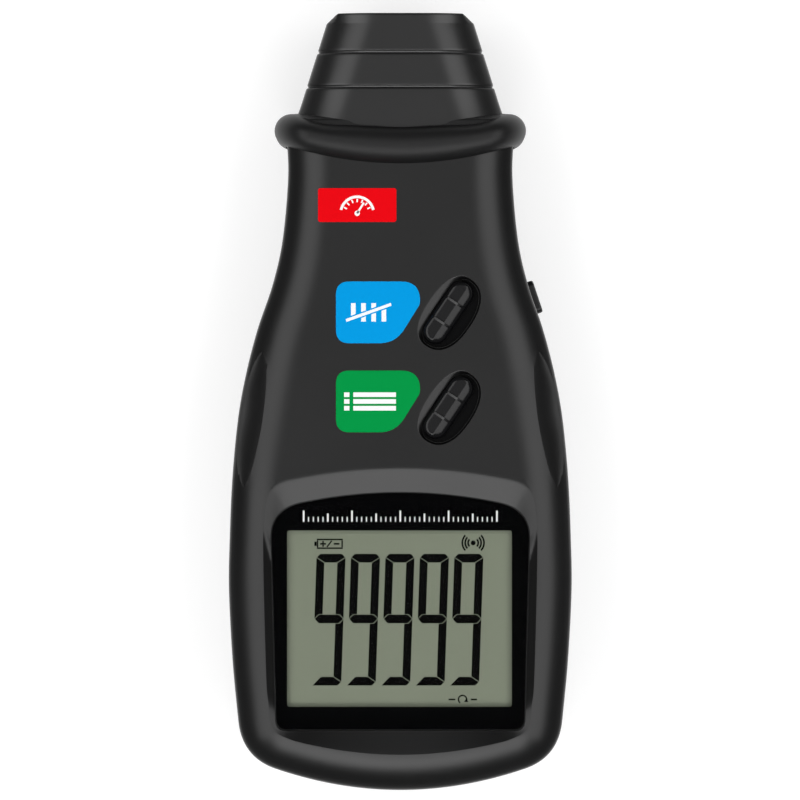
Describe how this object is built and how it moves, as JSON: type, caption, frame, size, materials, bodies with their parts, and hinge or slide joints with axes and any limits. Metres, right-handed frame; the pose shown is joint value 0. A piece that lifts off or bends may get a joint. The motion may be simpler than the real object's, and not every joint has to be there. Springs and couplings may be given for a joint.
{
  "type": "laser tachometer",
  "caption": "Handheld laser tachometer: waisted dark case, tapered optical nose behind a round bead, LCD window, slanted press keys, side measure key and sliding battery door.",
  "frame": {"origin": "on the surface that the instrument lies on, under the middle of its bounding box", "axes": "+Z out of the display face, +Y towards the nose along the beam, +X towards the side of the measure key"},
  "size_m": [0.071, 0.161, 0.0375],
  "materials": {
    "case_black": "moulded, fine grain",
    "door_black": "moulded, fine grain",
    "nose_black": "moulded, satin",
    "bead_black": "satin rubber",
    "filter_red": "gloss",
    "window_black": "gloss, printed border",
    "lcd_glass": "satin",
    "white_plastic": "moulded",
    "strip_rubber": "matt",
    "key_black": "gloss",
    "steel": "plated",
    "switch_black": "matt",
    "label_blue": "printed film",
    "label_green": "printed film",
    "label_red": "printed film",
    "board_green": "solder mask",
    "chip_black": "matt",
    "capacitor_blue": "sleeved",
    "brass": "turned",
    "clear_glass": "polished",
    "lead_red": "insulated wire",
    "battery_steel": "printed sleeve"
  },
  "bodies": {
    "case": {"front_case": "case_black", "rear_case": "case_black", "nose_cone": "nose_black", "collar_ring": "bead_black", "front_filter": "filter_red", "display_window": "window_black", "lcd_cell": "lcd_glass", "lcd_frame": "white_plastic", "contact_strips": "strip_rubber", "total_switch": "switch_black", "memory_switch": "switch_black", "measure_switch": "switch_black", "total_label": "label_blue", "memory_label": "label_green", "badge_label": "label_red", "main_board": "board_green", "controller_chip": "chip_black", "quartz_crystal": "steel", "board_capacitors": "capacitor_blue", "board_screws": "steel", "case_screws": "steel", "optics_holder": "switch_black", "optics_screws": "steel", "laser_barrel": "brass", "laser_lens": "clear_glass", "laser_diode": "steel", "laser_leads": "lead_red", "collecting_lens": "clear_glass", "photo_sensor": "chip_black", "sensor_board": "board_green", "board_link": "switch_black", "battery": "battery_steel", "battery_terminals": "steel", "battery_snap": "switch_black", "snap_contacts": "steel", "battery_leads": "lead_red"},
    "total_button": {"total_key": "key_black", "total_plunger": "steel"},
    "memory_button": {"memory_key": "key_black", "memory_plunger": "steel"},
    "measure_button": {"measure_key": "key_black", "measure_plunger": "steel"},
    "door": {"battery_door": "door_black"}
  },
  "joints": [
    {"name": "total_press", "type": "slide", "parent": "case", "child": "total_button", "axis": [0, 0, -1], "range_m": [0, 0.0005], "stiffness_N_per_m": 2500, "springref_m": -0.0004},
    {"name": "memory_press", "type": "slide", "parent": "case", "child": "memory_button", "axis": [0, 0, -1], "range_m": [0, 0.0005], "stiffness_N_per_m": 2500, "springref_m": -0.0004},
    {"name": "measure_press", "type": "slide", "parent": "case", "child": "measure_button", "axis": [-0.9489, -0.3156, 0], "range_m": [0, 0.0005], "stiffness_N_per_m": 2500, "springref_m": -0.0004},
    {"name": "door_slide", "type": "slide", "parent": "case", "child": "door", "axis": [0, -1, 0], "range_m": [0, 0.07]}
  ]
}
